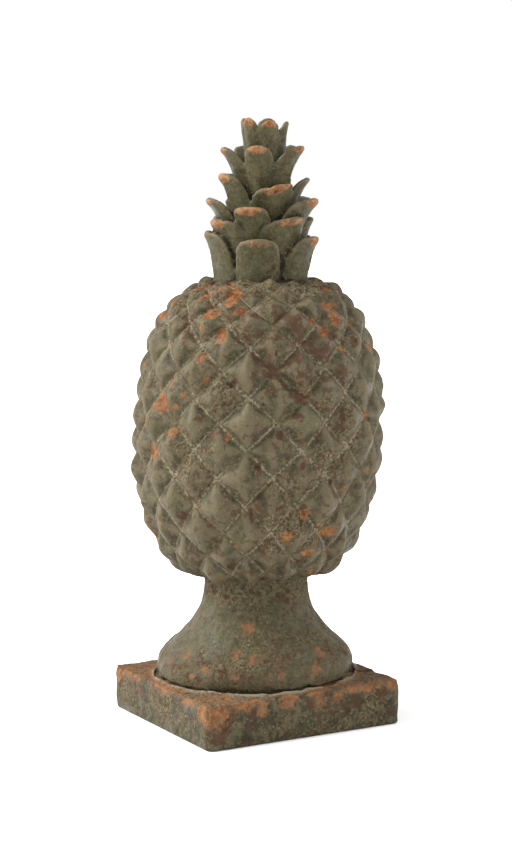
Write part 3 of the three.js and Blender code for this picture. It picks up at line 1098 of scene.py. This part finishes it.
    def pits(self, skin, wear, random):
        """Small round pits: the larger ones in chosen places, the rest at random."""
        depth = soft_step(skin.patches(PITS), 0.1, 0.7)
        for index in random.choice(skin.count, wear.pits, replace=False):
            size = random.uniform(1.1, 2.1) * UNIT
            gap = np.linalg.norm(skin.points - skin.points[index], axis=1)
            depth = np.maximum(depth, soft_step(-gap, -size, -0.3 * size))
        skin.push(-self.PIT_DEPTH * depth * skin.standing)
        return depth

    def chips(self, skin, wear, random, edges):
        """Bites out of the plinth's edges."""
        candidates = np.flatnonzero(edges > 0.3)
        for index in random.choice(candidates, min(wear.chips, len(candidates)), replace=False):
            size = random.uniform(1.5, 4.2) * UNIT
            centre = skin.points[index]
            near = soft_step(-np.linalg.norm(skin.points - centre, axis=1), -size, 0)
            inward = np.array((0, 0, skin.sizes.plinth_height / 2)) - centre
            inward /= np.linalg.norm(inward)
            skin.points += self.BITE * size * near[:, None] * inward


# Marks on the skin: degrees from the front and height of the middle, then half width and half height
BARE_CLAY = (
    (-30, 240, 5, 3), (-20, 235, 6, 6), (-43, 236, 5, 4), (-72, 232, 5, 5), (-58, 240, 5, 3),
    (-80, 224, 5, 5), (-31, 227, 7, 5), (-13, 229, 5, 3.5), (-21, 216, 5, 6), (-30, 205, 4, 4),
    (-47, 192, 3, 4), (-54, 180, 10, 8), (-43, 179, 4, 3), (61, 238, 6, 3), (47, 229, 8, 4),
    (44, 223, 4, 6), (30, 222, 3, 3), (35, 217, 6, 4), (60, 218, 4, 4), (-45, 165, 5, 5),
    (-59, 154, 6, 6), (-73, 165, 5, 8), (-81, 107, 5, 6), (60, 168, 2, 9), (14, 111, 5, 4),
    (24, 122, 4, 4), (39, 111, 7, 5), (30, 100, 6, 3), (-7, 56.5, 8, 5.5), (38, 34, 7, 5),
    (-62, 37, 4, 3), (-1, 42, 7, 4.5), (-14, 44, 5, 4), (-12, 34, 5, 4), (-39, 32, 4, 3),
    (88, 39, 4, 4), (16, 34, 5, 4), (-30, 36, 5, 3), (48, 42, 6, 4), (-50, 42, 4, 4),
)
STAINS = (
    (15, 223, 12, 6), (24, 211, 6, 4), (19, 204, 8, 5), (33, 206, 11, 9), (6, 197, 13, 7), (19, 194, 4, 9),
    (17, 185, 8, 8), (31, 192, 5, 4), (42, 197, 5, 6), (13, 178, 4, 3), (16, 176, 5, 4), (41, 173, 3, 9),
    (-63, 196, 6, 4), (-3, 124, 3, 9), (20, 218, 9, 6), (-14, 12, 6, 5), (30, 70, 9, 6), (-40, 120, 7, 5),
)
BROWNED = (
    (22, 208, 52, 40), (-12, 222, 60, 18), (35, 120, 30, 16), (-30, 36, 60, 13), (40, 38, 60, 13),
    (170, 190, 70, 40),
)
PITS = (
    (-13, 192, 3.2, 3.2), (8.5, 165, 3.4, 4.2), (0, 148.5, 2.2, 3.4), (20.5, 149, 3, 3.4),
    (36, 137, 2.6, 2.8), (8, 215, 2.6, 2.4), (8, 207, 2, 3), (88, 24.7, 3, 3),
)
GRIT = (
    (-30, 150, 40, 22), (10, 112, 34, 16), (35, 150, 22, 22), (-55, 225, 30, 16), (25, 240, 60, 8),
    (0, 38, 30, 7), (-20, 190, 26, 14),
)
CLEAN = (
    (-2, 186, 14, 12), (2, 155, 12, 14), (12, 228, 10, 8), (65, 180, 16, 40), (-14, 205, 12, 9),
    (-50, 130, 14, 12), (45, 60, 30, 10), (-60, 50, 40, 12),
)

# Marks on the plinth: the middle, then the half sizes, along X, Y and Z
PLINTH_CLAY = (
    (-59, 40, 25, 6, 22, 7), (-59, 52, 22, 5, 9, 9), (-59, -4, 24, 5, 16, 5), (-59, -34, 23, 5, 14, 6),
    (-58, -52, 20, 8, 9, 10), (-54, -59, 19, 11, 7, 12), (-38, -59, 24, 20, 7, 5), (-27, -59, 20, 6, 5, 7),
    (-12, -59, 21, 8, 5, 7), (8, -59, 20, 6, 4, 8), (19, -59, 20, 5, 4, 6), (36, -59, 24, 22, 8, 6),
    (54, -57, 24, 12, 12, 7), (20, -54, 25, 16, 6, 4), (59, 30, 24, 6, 24, 5), (20, 59, 24, 24, 6, 5),
    (-40, 59, 22, 16, 6, 8), (59, 59, 20, 8, 8, 12),
)
PLINTH_STAINS = (
    (-52, -59, 9, 10, 7, 8), (-46, -59, 17, 5, 6, 7), (-33, -59, 19, 5, 4, 6), (2, -59, 18, 5, 4, 7),
    (30, -59, 17, 6, 4, 7), (48, -59, 19, 8, 4, 5), (-59, -20, 20, 4, 8, 4), (-59, 24, 16, 4, 8, 5),
)


def clay_material():
    """Olive slip over orange clay: gritty dust, worn patches, stains and pits."""
    existing = bpy.data.materials.get(FINISH)
    if existing:
        return existing
    wear = bpy.context.scene.ornament_wear
    material = bpy.data.materials.new(FINISH)
    material.use_nodes = True
    material.node_tree.nodes.clear()
    web = Web(material.node_tree)
    place = web.add("ShaderNodeTexCoord", output="Object")
    mottle = web.noise(place, 21 * UNIT, 2.0)
    blotch = web.noise(place, 5.5 * UNIT, 4.0)
    cloudy = web.noise(place, 2.6 * UNIT, 4.0, 0.7)
    crumb = web.noise(place, 1.5 * UNIT, 3.0, 0.65)
    fine = web.noise(place, 0.55 * UNIT, 2.0, 0.6)
    dust, ridge, hollow, groove, plinth, foot, crown = (
        web.attribute(name) for name in ("dust", "ridge", "hollow", "groove", "plinth", "foot", "crown"))
    flecked = 1 - 0.4 * crown - 0.45 * foot

    def rgb(name, strength=1.0):
        return (*(strength * part for part in getattr(wear, name)), 1)

    def coated(colour, *coats):
        """The colour under coats, from the lowest: each one's cover, its colour's name and its strength."""
        for cover, name, strength in coats:
            colour = web.mix_colour(cover, colour, rgb(name, strength))
        return colour

    # Slip: its own tone on each facet, greener where it pooled and brownish where it is thin. Streaks run
    # down the sides of the plinth. Flecks and pores, a few fine cracks, and edges made pale, partly as
    # rubbed wear and partly as a painted highlight, lie over it.
    tone = (0.5 * mottle + 0.5 * blotch + 0.55 * web.attribute("tone")).above(0.42, 0.62)
    pooled = web.noise(place, 15 * UNIT).above(0.47, 0.6)
    thin = web.noise(place, 11 * UNIT, 4.0).above(0.48, 0.62)
    tall = web.add("ShaderNodeMapping", {}, {"Vector": place, "Scale": (1, 1, 0.2)})
    streak = web.noise(tall, 3.6 * UNIT)
    dark = web.noise(place, 5 * UNIT, 2.0, 0.5).above(0.54, 0.62)
    light = web.noise(place, 7 * UNIT, 3.0, 0.5, 0.5).above(0.56, 0.64)
    crack = 1 - abs(web.noise(place, 13 * UNIT, 4.0) - 0.5).above(0.001, 0.008)
    slip = coated(
        rgb("slip_dark"),
        (tone, "slip_light", 1),
        (0.7 * pooled, "slip_green", 1),
        (0.65 * thin + 0.22 * foot, "slip_warm", 1),
        (0.5 * crown + 0.32 * foot, "slip_light", 1.4),
        (0.6 * plinth * streak.above(0.5, 0.62), "slip_dark", 0.6),
        (0.35 * plinth * (1 - streak).above(0.52, 0.64), "slip_warm", 1),
        (0.6 * dark * flecked, "slip_dark", 0.75),
        (0.5 * light * flecked, "dust", 0.9),
        (0.75 * cloudy.above(0.51, 0.64) * flecked, "slip_dark", 0.55),
        (0.5 * (1 - cloudy).above(0.53, 0.66) * flecked, "dust", 0.85),
        (0.5 * (1 - crumb).above(0.54, 0.66), "slip_dark", 0.45),
        (0.4 * crumb.above(0.56, 0.68), "dust", 1),
        # Ridges made paler: partly rubbed wear, partly a painted highlight
        (0.6 * (ridge + 0.6 * (cloudy - 0.5)).above(0.12, 0.36), "dust", 1),
        (0.5 * crack * blotch.above(0.42, 0.55), "dust", 1.2),
    )

    # Grit: beige crumbs, pale specks and dark gaps
    gritty = (dust + 1.2 * (blotch - 0.5) + crumb - 0.5).above(0.3, 0.72)
    specks = web.add("ShaderNodeTexVoronoi", {}, {"Vector": place, "Scale": 1 / (2.2 * UNIT)})
    pale = (1 - specks.above(0.12, 0.3)) * fine.above(0.44, 0.56)
    gaps = (1 - crumb).above(0.54, 0.66)
    grit = coated(
        rgb("dust", 0.62),
        (crumb.above(0.38, 0.6), "dust", 1.15),
        (0.36 * web.noise(place, 7 * UNIT).above(0.4, 0.62), "slip_warm", 1),
        (0.4 * (1 - cloudy).above(0.5, 0.62), "slip_dark", 0.8),
        (0.85 * pale, "dust_pale", 1.3),
        (0.4 * gaps, "slip_dark", 0.7),
    )

    # Over both: small brown chips, crumbs in sheltered places, dust in the valleys between diamonds with a
    # pale line along most grooves, painted shade in the crevices between leaves, and the dusty lip round
    # the foot
    chip = web.noise(place, 3.8 * UNIT, 2.0, 0.5).above(0.59, 0.64)
    sheltered = web.noise(place, 9 * UNIT).above(0.5, 0.62) * (1 - crown) + hollow.above(0.1, 0.6) * crown
    valley = (groove + 0.7 * (blotch - 0.5) + 0.3 * (crumb - 0.5)).above(0.66, 0.96)
    line = (groove + 0.35 * (crumb - 0.5) + 0.2 * (fine - 0.5)).above(0.93, 1.0)
    lined = web.noise(place, 17 * UNIT, 2.0).above(0.4, 0.52)
    # Painted shade: the hollows between the crown's leaves are darkened where shade falls
    painted_crevice_shade = (hollow + crumb - 0.5).above(0.05, 0.55) * crown
    colour = coated(
        web.mix_colour(0.85 * gritty * (1 - 0.35 * foot), slip, grit),
        (0.65 * chip * flecked, "clay_dark", 0.7),
        (0.5 * pale * sheltered, "dust_pale", 1.2),
        (0.22 * valley, "dust", 1.1),
        (0.66 * line * lined, "dust_pale", 1.1),
        (0.85 * painted_crevice_shade, "slip_dark", 0.35),
        (0.8 * pale * hollow.above(0.0, 0.3) * crown, "dust_pale", 1.1),
        (0.85 * web.attribute("lip"), "dust_pale", 1.1),
    )

    # Stains, bare clay with a dusty fringe, and pits
    stain = (web.attribute("stain") + 1.6 * (blotch - 0.5) + 1.4 * (cloudy - 0.5)).above(0.5, 0.72)
    ragged = web.noise(place, 3.2 * UNIT, 4.0, 0.65)
    worn = web.attribute("bare") + 1.6 * (ragged - 0.5) + 0.7 * (crumb - 0.5)
    bare = worn.above(0.42, 0.6)
    # Pale clay on the rims of the crown's leaves: partly rubbed wear, partly a painted highlight
    rubbed = crown * (ridge + 1.6 * (blotch - 0.5)).above(0.12, 0.4)
    clay = coated(
        rgb("clay_dark", 1.6),
        (ragged.above(0.42, 0.62), "clay", 1.3),
        (0.75 * blotch.above(0.47, 0.58), "clay_pale", 1.2),
        (0.6 * cloudy.above(0.52, 0.64), "clay_dark", 1),
        (0.5 * (1 - crumb).above(0.5, 0.64), "clay_dark", 1),
        (0.5 * crumb.above(0.56, 0.66), "clay_pale", 1.3),
        # Bright pale clay on the crown and its leaf rims, the rims partly a painted highlight
        (0.12 * crown + 0.55 * rubbed, "clay_pale", 1.9),
        (0.6 * foot + 0.3 * plinth, "clay_pale", 0.85),
    )
    colour = coated(colour, (0.75 * stain, "stain", 1), (0.6 * worn.above(0.12, 0.5), "clay_pale", 0.8))
    pit = (web.attribute("pit") + 0.3 * (fine - 0.5)).above(0.35, 0.6)
    colour = coated(web.mix_colour(bare, colour, clay), (0.85 * pit, "clay_dark", 0.6))

    glazed = web.noise(place, 13 * UNIT, 2.0).above(0.5, 0.62) * (1 - gritty)
    roughness = 0.6 + 0.25 * (cloudy - 0.5) + 0.3 * gritty - 0.22 * glazed
    roughness = roughness * (1 - bare) + 0.85 * bare - 0.2 * pit
    rough = web.math("MAXIMUM", gritty, 0.7 * bare)
    relief = rough * (crumb + 0.5 * fine) + (1 - rough) * (0.5 * cloudy + 0.4 * crumb + 0.15 * fine)
    relief = relief - 0.5 * gaps * gritty
    normal = web.add("ShaderNodeBump", {}, {"Strength": 0.9, "Distance": 0.9 * UNIT, "Height": relief})
    shader = web.add("ShaderNodeBsdfPrincipled", {}, {
        "Base Color": colour, "Roughness": roughness, "Normal": normal, "Specular IOR Level": 0.15,
    })
    web.make("ShaderNodeOutputMaterial", {}, {"Surface": shader})
    return material


class SetStage(bpy.types.Operator):
    """Set the pale floor, the soft studio lights and the camera"""

    bl_idname = "ornament.stage"
    bl_label = "Stage"

    def execute(self, context):
        self.floor()
        self.lights(context.scene)
        self.camera(context.scene)
        return {"FINISHED"}

    def floor(self):
        points = [(x * FLOOR_REACH, y * FLOOR_REACH, 0) for x, y in ((-1, -1), (1, -1), (1, 1), (-1, 1))]
        floor = new_object("floor", new_mesh("floor", points, [(0, 1, 2, 3)]))
        material = bpy.data.materials.new("pale_floor")
        material.use_nodes = True
        material.node_tree.nodes.clear()
        web = Web(material.node_tree)
        shader = web.add("ShaderNodeBsdfPrincipled", {}, {
            "Base Color": (FLOOR_TONE, FLOOR_TONE, FLOOR_TONE, 1), "Roughness": 0.9,
        })
        web.make("ShaderNodeOutputMaterial", {}, {"Surface": shader})
        floor.data.materials.append(material)

    def lights(self, scene):
        world = bpy.data.worlds.new("studio")
        world.use_nodes = True
        background = world.node_tree.nodes["Background"]
        background.inputs["Color"].default_value = (1, 1, 1, 1)
        background.inputs["Strength"].default_value = SKY_STRENGTH
        scene.world = world
        scene.view_settings.view_transform = "Standard"
        for name, turn, elevation, energy, softness in SUNS:
            light = bpy.data.lights.new(name, "SUN")
            light.energy = energy
            light.angle = math.radians(softness)
            lamp = bpy.data.objects.new(name, light)
            turn, elevation = math.radians(FRONT + turn), math.radians(elevation)
            away = Vector((math.cos(turn) * math.cos(elevation), math.sin(turn) * math.cos(elevation),
                           math.sin(elevation)))
            lamp.rotation_euler = away.to_track_quat("Z", "Y").to_euler()
            scene.collection.objects.link(lamp)

    def camera(self, scene):
        pitch, roll, turn = (math.radians(angle) for angle in (CAMERA_PITCH, CAMERA_ROLL, CAMERA_TURN))
        back = Vector((math.sin(turn) * math.cos(pitch), -math.cos(turn) * math.cos(pitch),
                       math.sin(pitch)))
        right = Vector((math.cos(turn), math.sin(turn), 0))
        up = back.cross(right)
        data = bpy.data.cameras.new("camera")
        data.sensor_fit = "VERTICAL"
        data.sensor_height = SENSOR
        data.lens = LENS
        camera = bpy.data.objects.new("camera", data)
        level = Matrix((right, up, back)).transposed()
        place = Vector((0, 0, CAMERA_HEIGHT)) + right * CAMERA_ASIDE + back * CAMERA_DISTANCE
        camera.matrix_world = Matrix.Translation(place) @ (level @ Matrix.Rotation(roll, 3, "Z")).to_4x4()
        scene.collection.objects.link(camera)
        scene.camera = camera


class OrnamentPanel(bpy.types.Panel):
    """Lists the steps that make the ornament and its main sizes"""

    bl_idname = "VIEW3D_PT_ornament"
    bl_label = "Pineapple ornament"
    bl_space_type = "VIEW_3D"
    bl_region_type = "UI"
    bl_category = "Ornament"

    def draw(self, context):
        for group in (context.scene.ornament_sizes, context.scene.ornament_wear):
            column = self.layout.column(align=True)
            for name in group.__annotations__:
                column.prop(group, name)
        column = self.layout.column(align=True)
        for step in STEPS:
            column.operator(step.bl_idname)


STEPS = (SetPlinth, SetFoot, SetFruit, SetCrown, FinishOrnament, SetStage)
CLASSES = (BodySizes, Wear, OrnamentPanel) + STEPS


def register():
    for item in CLASSES:
        bpy.utils.register_class(item)
    bpy.types.Scene.ornament_sizes = PointerProperty(type=BodySizes)
    bpy.types.Scene.ornament_wear = PointerProperty(type=Wear)


def unregister():
    del bpy.types.Scene.ornament_wear
    del bpy.types.Scene.ornament_sizes
    for item in reversed(CLASSES):
        bpy.utils.unregister_class(item)


def main():
    register()
    bpy.ops.ornament.plinth()
    bpy.ops.ornament.foot()
    bpy.ops.ornament.fruit()
    bpy.ops.ornament.crown()
    bpy.ops.ornament.finish()
    bpy.ops.ornament.stage()


if __name__ == "__main__":
    main()
